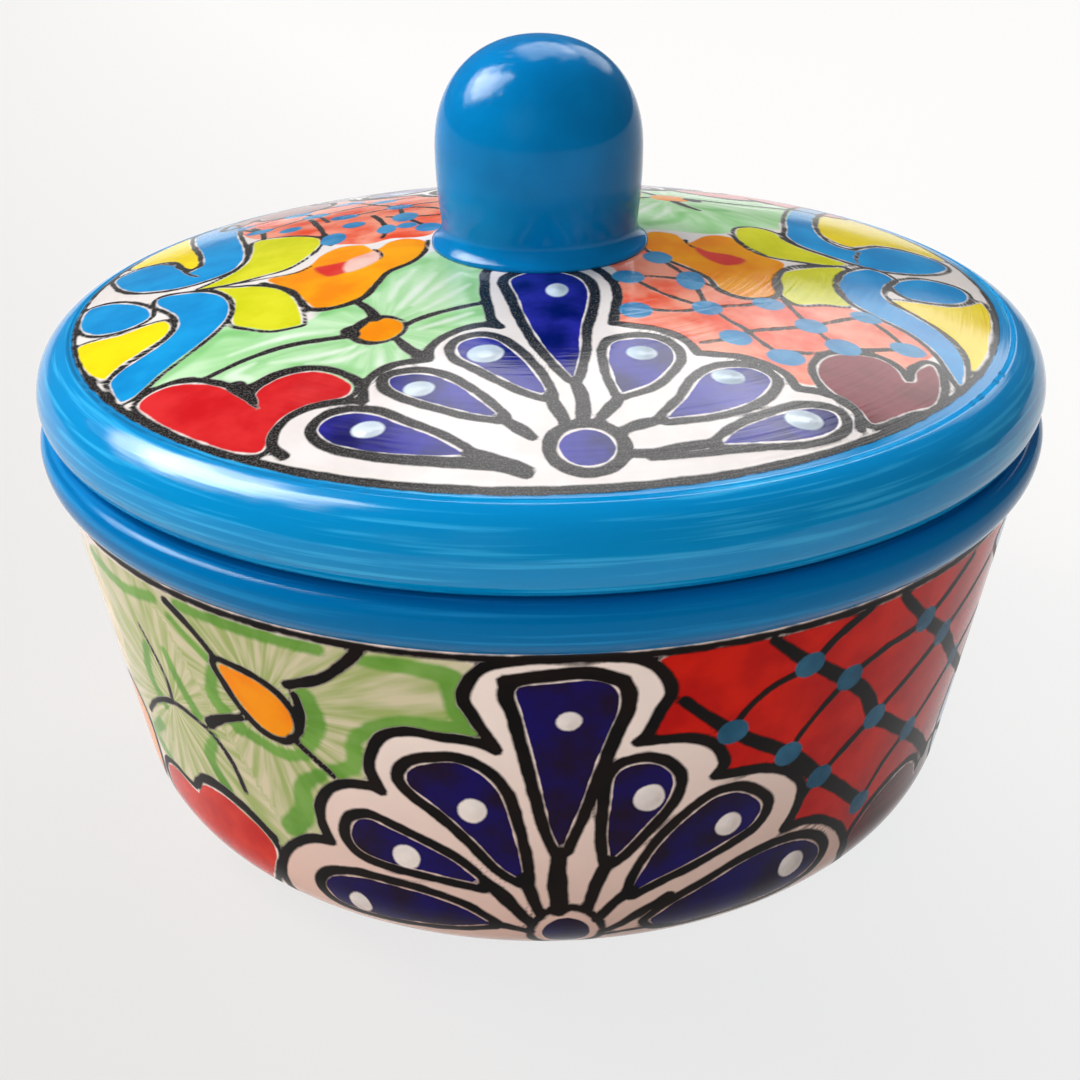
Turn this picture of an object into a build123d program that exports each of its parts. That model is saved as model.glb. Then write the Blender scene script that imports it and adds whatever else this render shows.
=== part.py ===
from build123d import *
import math
import os

# Tortilla warmer: a round glazed earthenware bowl with a loose domed lid.
# Millimetres, +Z up, origin on the table under the middle of the bowl.
# Every piece is turned about Z from half of its section.

# Where the bowl and the lid meet
rim_radius = 120.5  # widest point of the bowl's rim
lid_setback = 0.3  # the lid's edge stands this much inside the rim
seat_height = 101.3  # flat seat on top of the rim, above the table
rim_width = 14.5  # from the rim's widest point in to the mouth, which still passes a 200 mm tortilla

# Bowl
rim_top_radius = 3.5  # round from the seat out to the rim's widest point
rim_side_radius = 9.7  # fuller round from there back in to the wall
rim_band = 11.5  # height of the rim, from the seat down to the crease under it
wall_inset = 4.2  # from the rim's widest point in to the wall, at the crease
wall_slope = 11.1  # degrees that the wall leans out from upright
wall = 7.0
floor_thickness = 8.0
corner_radius = 24.2  # outside, from the wall into the foot
inner_corner_radius = 18.0
throat_depth = 14.0  # upright part of the mouth that guides the lid's ring
throat_blend = 9.0  # height over which the throat runs into the wall
mouth_edge_radius = 2.0  # round between the seat and the throat
foot_width = 9.0  # standing ring
foot_recess = 2.5  # hollow inside the standing ring
foot_edge = 1.5  # slant of the ring's inner side

# Lid
lid_edge_slope = 17.4  # degrees that the dome has fallen to where the edge rolls over
lid_shoulder_radius = 11.6  # roll from the dome down to the widest point
lid_lip_radius = 7.7  # roll from the widest point in to the seat
lid_wall = 8.0
lid_inner_radius = 4.0  # inside, where the lip meets the dome

# Ring under the lid that keeps it centred in the mouth
ring_clearance = 2.0  # play all round in the mouth
ring_gap = 6.0  # channel between the ring and the inner side of the lid's lip
ring_wall = 6.0
ring_drop = 9.0  # below the seat
ring_edge_share = 0.4  # round of its lower edges, of its wall

# Knob on the crown of the lid
knob_radius = 24.6
knob_widest_height = 22.0  # above the lid's crown
knob_neck_inset = 1.1  # the neck stands this much inside the widest point
knob_neck_height = 5.0  # above the lid's crown
knob_flare = 2.4  # the foot, where it was luted on, spreads this much past the neck
knob_flare_height = 0.8  # edge of that foot
knob_stretch = 1.8  # the rounded top is this much higher than a half ball
knob_tightening = 0.4  # and this much tighter at the very top

overrun = 5.0  # cuts pass the faces they open by this much


def turned(section):
    # A section drawn as distance from Z across and height up, turned about Z.
    return revolve(Plane.XZ * section, Axis.Z)


def leaning(radius_at_foot, height):
    return radius_at_foot + height * math.tan(math.radians(wall_slope))


def corner_into_wall(foot_line, height, radius):
    # Arc that leaves the level at this height and ends along the leaning wall.
    slope = math.radians(wall_slope)
    across = leaning(foot_line, height + radius) - radius / math.cos(slope)
    return CenterArc((across, height + radius), radius, -90, 90 - wall_slope)


# Bowl: a turned block with a rolled rim round it, then hollowed
mouth_radius = rim_radius - rim_width
rim_widest_height = seat_height - rim_top_radius
rim_core = rim_radius - rim_side_radius
rim_top = CenterArc((rim_radius - rim_top_radius, rim_widest_height), rim_top_radius, 0, 90)
rim_side = CenterArc((rim_core, rim_widest_height), rim_side_radius, -90, 90)
rim_section = make_face((
    rim_side,
    rim_top,
    Polyline(rim_top @ 1, (rim_core, seat_height), rim_side @ 0),
))

wall_foot = leaning(rim_radius - wall_inset, rim_band - seat_height)
outer_corner = corner_into_wall(wall_foot, 0, corner_radius)
foot_radius = (outer_corner @ 0).X
foot_inner = foot_radius - foot_width
block_section = make_face((
    Polyline(
        outer_corner @ 0,
        (foot_inner, 0),
        (foot_inner - foot_edge, foot_recess),
        (0, foot_recess),
        (0, seat_height),
        (rim_core, seat_height),
        (leaning(wall_foot, rim_widest_height), rim_widest_height),
        outer_corner @ 1,
    ),
    outer_corner,
))

inner_foot = wall_foot - wall / math.cos(math.radians(wall_slope))
inner_corner = corner_into_wall(inner_foot, floor_thickness, inner_corner_radius)
throat_foot = seat_height - throat_depth
blend_foot = throat_foot - throat_blend
mouth_edge_foot = seat_height - mouth_edge_radius
mouth_edge = CenterArc((mouth_radius + mouth_edge_radius, mouth_edge_foot), mouth_edge_radius, 90, 90)
hollow_section = make_face((
    inner_corner,
    Polyline(
        inner_corner @ 1,
        (leaning(inner_foot, blend_foot), blend_foot),
        (mouth_radius, throat_foot),
        mouth_edge @ 1,
    ),
    mouth_edge,
    Polyline(
        mouth_edge @ 0,
        (mouth_radius + mouth_edge_radius, seat_height + overrun),
        (0, seat_height + overrun),
        (0, floor_thickness),
        inner_corner @ 0,
    ),
))
bowl = turned(block_section) + turned(rim_section) - turned(hollow_section)

# Lid: a shallow dome whose edge rolls over and in to a flat lip on the seat
lid_radius = rim_radius - lid_setback
widest_height = seat_height + lid_lip_radius
edge_slope = math.radians(lid_edge_slope)
dome_edge = lid_radius - lid_shoulder_radius * (1 - math.sin(edge_slope))
dome_radius = dome_edge / math.sin(edge_slope)
dome_drop = (dome_radius - lid_shoulder_radius) * math.cos(edge_slope)
dome_centre = widest_height - dome_drop
crown_height = dome_centre + dome_radius
under_radius = dome_radius - lid_wall


def dome_arc(radius, from_axis, to_axis):
    # Arc about the dome's centre, between two distances from Z.
    start = math.degrees(math.acos(from_axis / radius))
    end = math.degrees(math.acos(to_axis / radius))
    return CenterArc((0, dome_centre), radius, start, end - start)


ring_outer = mouth_radius - ring_clearance
lip_inner = ring_outer + ring_gap
dome = dome_arc(dome_radius, dome_edge, 0)
shoulder_centre = (lid_radius - lid_shoulder_radius, widest_height)
shoulder = CenterArc(shoulder_centre, lid_shoulder_radius, 0, 90 - lid_edge_slope)
lip = CenterArc((lid_radius - lid_lip_radius, widest_height), lid_lip_radius, -90, 90)
under = dome_arc(under_radius, lip_inner, 0)
lid_section = make_face((
    dome,
    shoulder,
    lip,
    Polyline(lip @ 0, (lip_inner, seat_height), under @ 0),
    under,
    Line(under @ 1, dome @ 1),
))
inside_corner = lid_section.vertices().sort_by_distance(under @ 0)[0]
lid = turned(fillet(inside_corner, lid_inner_radius))

# Locating ring: luted to the underside of the dome
ring_inner = ring_outer - ring_wall
ring_foot = seat_height - ring_drop
ring_top = dome_arc(under_radius, ring_outer, ring_inner)
ring_section = make_face((
    ring_top,
    Polyline(ring_top @ 1, (ring_inner, ring_foot), (ring_outer, ring_foot), ring_top @ 0),
))
ring_lower = ring_section.vertices().sort_by(Axis.Y)[:2]
lid_locating_ring = turned(fillet(ring_lower, ring_wall * ring_edge_share))

# Knob: its foot follows the dome and flares over it, its top is an oval of two arcs
neck_radius = knob_radius - knob_neck_inset
knob_foot = dome_arc(dome_radius, neck_radius + knob_flare, 0)
flare_top = knob_foot @ 0 + Vector(0, knob_flare_height)
neck = Vector(neck_radius, crown_height + knob_neck_height)
widest = Vector(knob_radius, crown_height + knob_widest_height)
cap_radius = knob_radius - knob_tightening
cap_rise = knob_stretch + knob_tightening
side_offset = (cap_rise**2 - knob_tightening**2) / (2 * knob_tightening)
cap_angle = math.degrees(math.atan(cap_rise / side_offset))
knob_cap = CenterArc((0, widest.Y + cap_rise), cap_radius, cap_angle, 90 - cap_angle)
knob_shoulder = CenterArc((-side_offset, widest.Y), knob_radius + side_offset, 0, cap_angle)
knob_side = TangentArc(widest, neck, tangent=(0, -1))
flare_side = TangentArc(neck, flare_top, tangent=knob_side % 1)
knob_section = make_face((
    knob_foot,
    Line(knob_foot @ 0, flare_top),
    flare_side,
    knob_side,
    knob_shoulder,
    knob_cap,
    Line(knob_cap @ 1, knob_foot @ 1),
))
knob = turned(knob_section)

os.makedirs("parts", exist_ok=True)
pieces = {"bowl": bowl, "lid": lid, "lid_locating_ring": lid_locating_ring, "knob": knob}
for name, shape in pieces.items():
    export_step(shape, f"parts/{name}.step")
    print(name, "volume", round(shape.volume), "mm3")
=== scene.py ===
import math
from functools import partial
import bpy
import numpy as np
from mathutils import Matrix, Vector


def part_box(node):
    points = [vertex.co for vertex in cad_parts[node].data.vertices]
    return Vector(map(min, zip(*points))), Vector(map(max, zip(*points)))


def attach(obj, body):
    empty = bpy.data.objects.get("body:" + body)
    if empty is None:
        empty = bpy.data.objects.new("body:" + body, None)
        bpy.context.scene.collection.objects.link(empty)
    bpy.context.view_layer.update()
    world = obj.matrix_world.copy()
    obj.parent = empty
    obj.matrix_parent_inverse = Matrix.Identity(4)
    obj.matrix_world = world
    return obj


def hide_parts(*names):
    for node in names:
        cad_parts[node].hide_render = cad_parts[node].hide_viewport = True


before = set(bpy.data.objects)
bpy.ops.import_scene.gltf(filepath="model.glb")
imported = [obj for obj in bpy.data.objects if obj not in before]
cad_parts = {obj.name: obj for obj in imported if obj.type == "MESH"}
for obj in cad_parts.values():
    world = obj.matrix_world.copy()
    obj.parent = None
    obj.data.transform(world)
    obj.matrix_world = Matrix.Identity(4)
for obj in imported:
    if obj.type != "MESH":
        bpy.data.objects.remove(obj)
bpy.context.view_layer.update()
mm = 0.001
samePoint = 1e-6  # mm
noPaint = 8.0  # distance, in mm, that means no paint of that colour is near
scene = bpy.context.scene
print("frame loaded:", sorted(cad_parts))


# Sections, as (distance from the axis, height) in millimetres

def arcRows(centre, radius, start, end, step):
    count = max(3, math.ceil(abs(math.radians(end - start)) * radius / step))
    angles = np.radians(np.linspace(start, end, count + 1))
    return [(centre[0] + radius * math.cos(a), centre[1] + radius * math.sin(a)) for a in angles]


def lineRows(start, end, step):
    length = math.dist(start, end)
    shares = np.linspace(0, 1, max(1, math.ceil(length / step)) + 1)
    return [(start[0] + (end[0] - start[0]) * s, start[1] + (end[1] - start[1]) * s) for s in shares]


def tangentArcRows(start, along, end, step):
    # the arc that leaves start along a direction and runs to end
    chord = (end[0] - start[0], end[1] - start[1])
    side = (-along[1], along[0])
    radius = (chord[0] ** 2 + chord[1] ** 2) / (2 * (side[0] * chord[0] + side[1] * chord[1]))
    centre = (start[0] + radius * side[0], start[1] + radius * side[1])
    first = math.atan2(start[1] - centre[1], start[0] - centre[0])
    last = math.atan2(end[1] - centre[1], end[0] - centre[0])
    turn = (last - first + math.pi) % (2 * math.pi) - math.pi
    return arcRows(centre, abs(radius), math.degrees(first), math.degrees(first + turn), step)


def sectionRows(stretches):
    # joins stretches of (points, points around) and measures the way along them
    rows = []
    along = 0.0
    for points, around in stretches:
        for point in points:
            if rows:
                step = math.dist(rows[-1][:2], point)
                if step < samePoint:
                    continue
                along += step
            rows.append((*point, 1 if point[0] < samePoint else around, along))
    return rows


def alongAt(rows, point):
    return next(row[3] for row in rows if math.dist(row[:2], point) < samePoint)


def ringEdge(start, around, face, faces):
    # the points of a ring that one face runs along, of so many faces round the piece
    share = around // faces
    return [start] if around == 1 else [start + (face * share + k) % around for k in range(share + 1)]


def keepOnMesh(piece, name, values):
    layer = piece.data.attributes.new(name, "FLOAT", "POINT")
    layer.data.foreach_set("value", np.asarray(values, np.float32))


def turnedPiece(name, rows, closed=False):
    # a skin from the axis under the piece, up its outside and back to the axis, or a closed ring
    points = []
    for radius, height, around, along in rows:
        turn = np.arange(around) * (2 * math.pi / around)  # from the front, to the right
        turn = np.where(turn > math.pi, turn - 2 * math.pi, turn)
        across, out = radius * np.sin(turn), -radius * np.cos(turn)
        points.append(np.column_stack((across, out, np.full(around, height), turn, np.full(around, along))))
    starts = np.cumsum([0] + [len(p) for p in points]).tolist()
    faces = []
    for i in range(len(rows) if closed else len(rows) - 1):
        j = (i + 1) % len(rows)
        first, second = rows[i][2], rows[j][2]
        count = max(first, second) if 1 in (first, second) else min(first, second)
        for k in range(count):
            faces.append(ringEdge(starts[i], first, k, count) + ringEdge(starts[j], second, k, count)[::-1])
    points = np.vstack(points)
    mesh = bpy.data.meshes.new(name)
    mesh.from_pydata((points[:, :3] * mm).tolist(), [], faces)
    mesh.shade_smooth()
    piece = bpy.data.objects.new(name, mesh)
    scene.collection.objects.link(piece)
    keepOnMesh(piece, "along", points[:, 4])
    print(name, "turned:", len(points), "points")
    return piece, points


# Painting: each colour is kept on the mesh as the distance, in mm, to the edge of its strokes

brush = {"steps": 7,  # between two placed points
         "thinning": (0.75, 200.0, 0.8, 1.1)}  # share at a fan's middle, mm over which it grows by 1, least, most


def curveThrough(points, closed):
    # a smooth line through given points; a third value marks a sharp corner
    places = np.array([p[:2] for p in points], float)
    sharp = [len(p) > 2 for p in points]
    count = len(places)
    line = []
    for i in range(count if closed else count - 1):
        j = (i + 1) % count
        b, c = places[i], places[j]
        a = places[i - 1] if (closed or i > 0) and not sharp[i] else 2 * b - c
        d = places[(i + 2) % count] if (closed or i + 2 < count) and not sharp[j] else 2 * c - b
        knots = np.cumsum([0.0] + [math.sqrt(math.dist(*pair)) for pair in ((a, b), (b, c), (c, d))])
        t = np.linspace(knots[1], knots[2], brush["steps"], endpoint=False)[:, None]
        blend = [a, b, c, d]
        for spans in (((0, 1), (1, 2), (2, 3)), ((0, 2), (1, 3)), ((1, 2),)):
            blend = [(knots[n] - t) / (knots[n] - knots[m]) * p + (t - knots[m]) / (knots[n] - knots[m]) * q
                     for (m, n), p, q in zip(spans, blend, blend[1:])]
        line += blend
    if not closed:
        line.append(places[-1:])
    return np.vstack(line)


def nearLine(spots, line, closed, halfWidths=None):
    # distance from each spot to the line, less the line's own half width there
    start = line if closed else line[:-1]
    end = np.roll(line, -1, axis=0) if closed else line[1:]
    run = end - start
    square = np.maximum((run * run).sum(1), 1e-12)
    best = np.full(len(spots), np.inf)
    inside = np.zeros(len(spots), bool)
    for k in range(len(start)):
        off = spots - start[k]
        share = np.clip((off @ run[k]) / square[k], 0, 1)
        gap = np.hypot(off[:, 0] - share * run[k, 0], off[:, 1] - share * run[k, 1])
        if halfWidths is not None:
            gap = gap - (halfWidths[k] + share * (halfWidths[k + 1] - halfWidths[k]))
        best = np.minimum(best, gap)
        if closed and run[k, 1] != 0:
            crosses = (start[k, 1] > spots[:, 1]) != (end[k, 1] > spots[:, 1])
            inside ^= crosses & (off[:, 0] < run[k, 0] * off[:, 1] / run[k, 1])
    return np.where(inside, -best, best) if closed else best


class PaintedField:
    # the canvas that a painter works on: spots in mm, once for each repeat of the pattern
    def __init__(self, repeats):
        self.repeats = repeats
        self.colours = {}

    def lay(self, colour, gap, where=slice(None)):
        kept = self.colours.setdefault(colour, np.full(len(self.repeats[0]), noPaint))
        kept[where] = np.minimum(kept[where], gap)

    def layEdged(self, colour, gap, where, pen, thinning=1.0):
        # a pen says how far off the colour its ink outline is drawn, and how wide
        self.lay(colour, gap, where)
        if pen:
            half = pen[1] / 2 * thinning
            self.lay("ink", np.abs(gap - pen[0] - half) - half, where)

    def near(self, spots, line):
        low, high = line.min(0) - noPaint, line.max(0) + noPaint
        return np.nonzero(((spots > low) & (spots < high)).all(1))[0]

    def fill(self, colour, outline, pen=None, thinTo=None):
        line = curveThrough(outline, True)
        for spots in self.repeats:
            where = self.near(spots, line)
            thinning = 1.0
            if thinTo:  # the outline thins towards the middle of a fan
                middle, growth, least, most = brush["thinning"]
                thinning = np.clip(middle + np.hypot(*(spots[where] - thinTo).T) / growth, least, most)
            self.layEdged(colour, nearLine(spots[where], line, True), where, pen, thinning)

    def stroke(self, colour, points, width):
        line = curveThrough(points, False)
        ends = np.atleast_1d(width) / 2
        halfWidths = np.interp(np.linspace(0, 1, len(line)), np.linspace(0, 1, len(ends)), ends)
        for spots in self.repeats:
            where = self.near(spots, line)
            self.lay(colour, nearLine(spots[where], line, False, halfWidths), where)

    def dot(self, colour, x, y, halfX, halfY, pen=None):
        for spots in self.repeats:
            off = spots - (x, y)
            where = np.nonzero(np.abs(off).max(1) < noPaint + max(halfX, halfY))[0]
            reach = np.hypot(off[where, 0] / halfX, off[where, 1] / halfY)
            self.layEdged(colour, (reach - 1) * min(halfX, halfY), where, pen)

    def paint(self, fills, strokes, berries, pens):
        for colour, outlines in fills.items():
            for outline in outlines:
                self.fill(colour, outline, pens.get(colour))
        for colour, rows in strokes.items():
            for points, width in rows:
                self.stroke(colour, points, width)
        for berry in berries:
            self.dot("berry", *berry)

    def paintFan(self, fan):
        # a white scallop with blue petals that run to a dot at its foot
        self.fill("fan", fan["scallop"] + fan["foot"])
        self.stroke("ink", fan["scallop"], fan["scallopPen"])
        for outline, dot in fan["petals"]:
            self.fill("cobalt", outline, fan["petalPen"], fan["middle"])
            self.dot("spark", *dot)
        self.dot("cobalt", *fan["middle"], *fan["dot"], fan["dotPen"])
        for points, width in fan["tails"]:
            self.stroke("ink", points, width)


def leafRays(field, centres, spread, length):
    # for each spot, the way out from the nearest flower, so that strokes can follow it
    best = np.full(len(field.repeats[0]), np.inf)
    rays = np.zeros((3, len(best)))
    for spots in field.repeats:
        for centre in centres:
            off = spots - centre
            far = np.hypot(off[:, 0], off[:, 1])
            closer = far < best
            unit = off[closer] / np.maximum(far[closer], 1e-6)[:, None]
            rays[0, closer], rays[1, closer] = unit[:, 0] * spread, unit[:, 1] * spread
            rays[2, closer] = far[closer] / length
            best[closer] = far[closer]
    return dict(zip(("rayX", "rayY", "rayOut"), rays))


def keepPaint(piece, field, onField, edges, rays):
    # edges are the colours that go right round, which the field doesn't hold
    gaps = {colour: np.where(onField, gap, noPaint) for colour, gap in field.colours.items()} | edges
    for colour, gap in gaps.items():
        keepOnMesh(piece, colour, np.clip(gap, -noPaint, noPaint))
    for name, values in rays.items():
        keepOnMesh(piece, name, values)
    print(piece.name, "painted:", sorted(gaps))


# Materials

def linear(hexColour):
    parts = [int(hexColour[i:i + 2], 16) / 255 for i in (1, 3, 5)]
    return tuple(c / 12.92 if c <= 0.04045 else ((c + 0.055) / 1.055) ** 2.4 for c in parts) + (1.0,)


def addNode(tree, kind, inputs=None, out=0, **settings):
    node = tree.nodes.new("ShaderNode" + kind)
    for key, value in settings.items():
        setattr(node, key, value)
    for key, value in (inputs or {}).items():
        if isinstance(value, bpy.types.NodeSocket):
            tree.links.new(value, node.inputs[key])
        else:
            node.inputs[key].default_value = value
    return None if out is None else node.outputs[out]


# Sizes of the glaze's patterns are in mm on the piece, heights in mm above it
glaze = {
    "white": "#F3ECE9", "whiteShade": "#EDE4DF", "wash": 11.0,  # colour pools and thins over about a centimetre
    "tremble": 5.0, "trembleReach": 1.1, "hairs": 1.3, "hairReach": 0.14,  # how far hand and hairs move an edge
    "bareWander": 1.6, "bareFrom": 1.0, "bareTo": 0.6, "bareShare": 0.75,  # white line left beside the ink
    "specks": 0.45, "streakLength": 70.0, "streakWidth": 1.9, "streakHeight": 0.03, "waves": 16.0, "waveHeight": 0.07,
    "inkHeight": 0.03, "beadHeight": 0.7, "beadEdge": 0.3, "beadDepth": 2.4,
    "roughness": 0.10, "roughnessSpread": 0.10, "inkRoughness": 0.34, "ior": 1.5, "gloss": 0.13,
}
plainPaint = {"soft": 0.3, "strength": 1.0, "tremble": 0.8, "tone": "wash", "ragged": 0.0, "bareEdge": False}


# Tin-glazed earthenware, painted by brush under a clear glaze: glossy and a little uneven,
# with streaks where the brush ran dry and a thin bare line beside some of the ink
def tinGlaze(name, look, layers):
    material = bpy.data.materials.new(name)
    material.use_nodes = True
    tree = material.node_tree
    tree.nodes.clear()
    add = partial(addNode, tree)
    smooth = {"interpolation_type": "SMOOTHSTEP"}
    scaled = {"operation": "MULTIPLY_ADD"}
    mixed = {"out": 2, "data_type": "RGBA"}
    place = add("TexCoord", out="Object")
    noise = {}
    for size, detail in (("tremble", 2.0), ("hairs", 2.0), ("wash", 3.0), ("specks", 2.0), ("waves", 1.0)):
        noise[size] = add("TexNoise", {"Vector": place, "Scale": 1 / (look[size] * mm), "Detail": detail})
    along, rayX, rayY, rayOut, low = (add("Attribute", out="Fac", attribute_name=value)
                                      for value in ("along", "rayX", "rayY", "rayOut", "low"))

    # the hand's tremble on every edge, and the brush hairs' own, either way
    middle = (look["trembleReach"] + look["hairReach"]) / 2
    shake = add("Math", {0: noise["tremble"], 1: look["trembleReach"], 2: -middle}, **scaled)
    shake = add("Math", {0: noise["hairs"], 1: look["hairReach"], 2: shake}, **scaled)

    # streaks that follow the wheel: long round the piece, narrow across it
    flat = add("VectorMath", {0: place, 1: (1, 1, 0)}, operation="MULTIPLY")
    heading = add("VectorMath", {0: flat}, operation="NORMALIZE")
    around = add("VectorMath", {0: heading, "Scale": look["radius"] / look["streakLength"]}, operation="SCALE")
    across = add("CombineXYZ", {2: add("Math", {0: along, 1: look["streakWidth"]}, operation="DIVIDE")})
    wheel = add("VectorMath", {0: around, 1: across}, operation="ADD")
    streaks = add("TexNoise", {"Vector": wheel, "Scale": 1.0, "Detail": 3.0})

    # strokes pulled out from the flowers, long outwards and narrow across
    rays = add("CombineXYZ", {0: rayX, 1: rayY, 2: rayOut})
    pulled = add("TexNoise", {"Vector": rays, "Scale": 1.0, "Detail": 2.0})

    # what turns a paint from deep to pale, and where in its noise that starts and ends; the tone down the wall is
    # painted shade towards the bowl's foot, the ink's specks a painted sheen, and the wheel's ridge streaks partly a
    # painted highlight
    tones = {"low": low}
    for tone, source, start, end in (("wash", noise["wash"], 0.3, 0.7), ("rays", pulled, 0.3, 0.7),
                                     ("grain", noise["specks"], 0.45, 0.7), ("ridge", streaks, 0.5, 0.7)):
        tones[tone] = add("MapRange", {0: source, 1: start, 2: end}, **smooth)

    white = add("Mix", {0: tones["wash"], 6: linear(look["white"]), 7: linear(look["whiteShade"])}, **mixed)
    colour = white
    ink = bead = None
    for paint, deep, pale, ways in layers:
        ways = plainPaint | ways
        gap = add("Attribute", out="Fac", attribute_name=paint)
        if ways["ragged"]:
            gap = add("Math", {0: pulled, 1: 2 * ways["ragged"], 2: gap}, **scaled)
            gap = add("Math", {0: gap, 1: ways["ragged"]}, operation="SUBTRACT")
        edge = add("Math", {0: shake, 1: ways["tremble"], 2: gap}, **scaled)
        cover = add("MapRange", {0: edge, 1: ways["soft"], 2: -ways["soft"], 4: ways["strength"]}, **smooth)
        fill = add("Mix", {0: tones[ways["tone"]], 6: linear(deep), 7: linear(pale)}, **mixed)
        if ways["bareEdge"]:
            # the white glaze shows in a thin broken line beside the ink
            inkGap = add("Attribute", out="Fac", attribute_name="ink")
            bare = add("Math", {0: noise["tremble"], 1: look["bareWander"], 2: inkGap}, **scaled)
            bare = add("MapRange", {0: bare, 1: look["bareFrom"], 2: look["bareTo"], 4: look["bareShare"]}, **smooth)
            fill = add("Mix", {0: bare, 6: fill, 7: white}, **mixed)
        if paint == "ink":
            ink = cover
        if paint == "spark":
            bead = add("MapRange", {0: gap, 1: look["beadEdge"], 2: -look["beadDepth"]}, **smooth)
        colour = add("Mix", {0: cover, 6: colour, 7: fill}, **mixed)

    # glaze lies in low waves, the wheel's lines show through it, ink stands a little proud and white dots more
    height = add("Math", {0: noise["waves"], 1: look["waveHeight"]}, operation="MULTIPLY")
    height = add("Math", {0: streaks, 1: look["streakHeight"], 2: height}, **scaled)
    spread = look["roughnessSpread"]
    roughness = add("Math", {0: noise["wash"], 1: spread, 2: look["roughness"] - spread / 2}, **scaled)
    if ink is not None:
        height = add("Math", {0: ink, 1: look["inkHeight"], 2: height}, **scaled)
        roughness = add("Math", {0: ink, 1: look["inkRoughness"] - look["roughness"], 2: roughness}, **scaled)
    if bead is not None:
        height = add("Math", {0: bead, 1: look["beadHeight"], 2: height}, **scaled)
    relief = add("Bump", {"Height": height, "Distance": mm, "Strength": 1.0})
    shader = add("BsdfPrincipled", {"Base Color": colour, "Roughness": roughness, "Normal": relief,
                                    "IOR": look["ior"], "Specular IOR Level": look["gloss"]})
    add("OutputMaterial", {"Surface": shader}, out=None)
    return material


# Bowl

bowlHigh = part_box("bowl")[1]
bowl = {
    "rim": bowlHigh.x / mm, "seat": bowlHigh.z / mm, "rimWidth": 14.5,
    "rimTop": 3.5, "rimSide": 9.7, "rimBand": 11.5, "wallInset": 4.2, "mouthEdge": 2.0,
    "slope": math.radians(11.1), "wall": 7.0, "floor": 8.0, "corner": 24.2, "innerCorner": 18.0,
    "throat": 14.0, "throatBlend": 9.0, "foot": 9.0, "footRecess": 2.5, "footEdge": 1.5,
    "around": 720, "aroundInside": 180, "step": 1.05, "stepInside": 3.0, "stepFloor": 12.0,
    "glazeEnd": 89.0,  # down the wall from the crease
    "canvas": 101.0,  # the wall's pattern is laid out in mm on a drum of this radius
    "flowers": [(-55.5, 23.5), (-85, 37)], "raySpread": 8.0, "rayLength": 18.0,
    "lineDown": 1.3, "lineHalf": 1.0,  # ink line under the rim
    "shadeFrom": 20.0, "shadeOver": 70.0,  # painted shade: the fan's white darkens and warms towards the foot, where the wall turns under
    "berry": 3.2,
}
lean = math.tan(bowl["slope"])
upright = math.cos(bowl["slope"])
crease = (bowl["rim"] - bowl["wallInset"], bowl["seat"] - bowl["rimBand"])
wallFoot = crease[0] - crease[1] * lean
cornerCentre = (wallFoot + bowl["corner"] * lean - bowl["corner"] / upright, bowl["corner"])
rimSideCentre = (bowl["rim"] - bowl["rimSide"], bowl["seat"] - bowl["rimTop"])
rimTopCentre = (bowl["rim"] - bowl["rimTop"], rimSideCentre[1])
slopeDegrees = math.degrees(bowl["slope"])
toWall = upright * (crease[0] - rimSideCentre[0]) + math.sin(bowl["slope"]) * (rimSideCentre[1] - crease[1])
rimSideStart = -slopeDegrees - math.degrees(math.acos(toWall / bowl["rimSide"]))
mouth = bowl["rim"] - bowl["rimWidth"]
mouthEdgeCentre = (mouth + bowl["mouthEdge"], bowl["seat"] - bowl["mouthEdge"])
innerFoot = wallFoot - bowl["wall"] / upright
innerHeight = bowl["floor"] + bowl["innerCorner"]
innerCentre = (innerFoot + innerHeight * lean - bowl["innerCorner"] / upright, innerHeight)
throat = (mouth, bowl["seat"] - bowl["throat"])
blendFoot = throat[1] - bowl["throatBlend"]
blend = (innerFoot + blendFoot * lean, blendFoot)
footInner = cornerCentre[0] - bowl["foot"]

fine, coarse = bowl["step"], bowl["stepInside"]
outerCorner = arcRows(cornerCentre, bowl["corner"], -90, -slopeDegrees, fine)
rimSide = arcRows(rimSideCentre, bowl["rimSide"], rimSideStart, 0, fine)
wallLine = lineRows(outerCorner[-1], rimSide[0], fine)
rimTop = arcRows(rimTopCentre, bowl["rimTop"], 0, 90, fine)
mouthEdge = arcRows(mouthEdgeCentre, bowl["mouthEdge"], 90, 180, fine)
innerCorner = arcRows(innerCentre, bowl["innerCorner"], -slopeDegrees, -90, coarse)
recess = [(out, bowl["footRecess"]) for out in (0, footInner / 2, footInner - bowl["footEdge"])]
bowlRows = sectionRows([
    (recess + lineRows((footInner, 0), outerCorner[0], coarse), bowl["aroundInside"]),
    (outerCorner[1:] + wallLine + rimSide + rimTop, bowl["around"]),
    (lineRows(rimTop[-1], mouthEdge[0], coarse) + mouthEdge + lineRows(mouthEdge[-1], throat, coarse)
     + lineRows(throat, blend, coarse) + lineRows(blend, innerCorner[0], coarse)
     + innerCorner + lineRows(innerCorner[-1], (0, bowl["floor"]), bowl["stepFloor"]), bowl["aroundInside"]),
])
bowlPiece, bowlPoints = turnedPiece("glazed_bowl", bowlRows)

# The wall's canvas: x to the right of the front, y down the wall from the crease under the rim
alongBowl = bowlPoints[:, 4]
creaseAlong = alongAt(bowlRows, rimSide[0])
onWall = (alongBowl <= creaseAlong) & (alongBowl >= alongAt(bowlRows, outerCorner[1]))
halfTurn = math.pi * bowl["canvas"]
wallX = bowlPoints[:, 3] * bowl["canvas"]
wallX = (wallX + halfTurn / 2) % halfTurn - halfTurn / 2  # the pattern comes twice round the wall
wallDown = creaseAlong - alongBowl
wallField = PaintedField([np.column_stack((wallX + turn, wallDown)) for turn in (-halfTurn, 0, halfTurn)])

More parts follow.
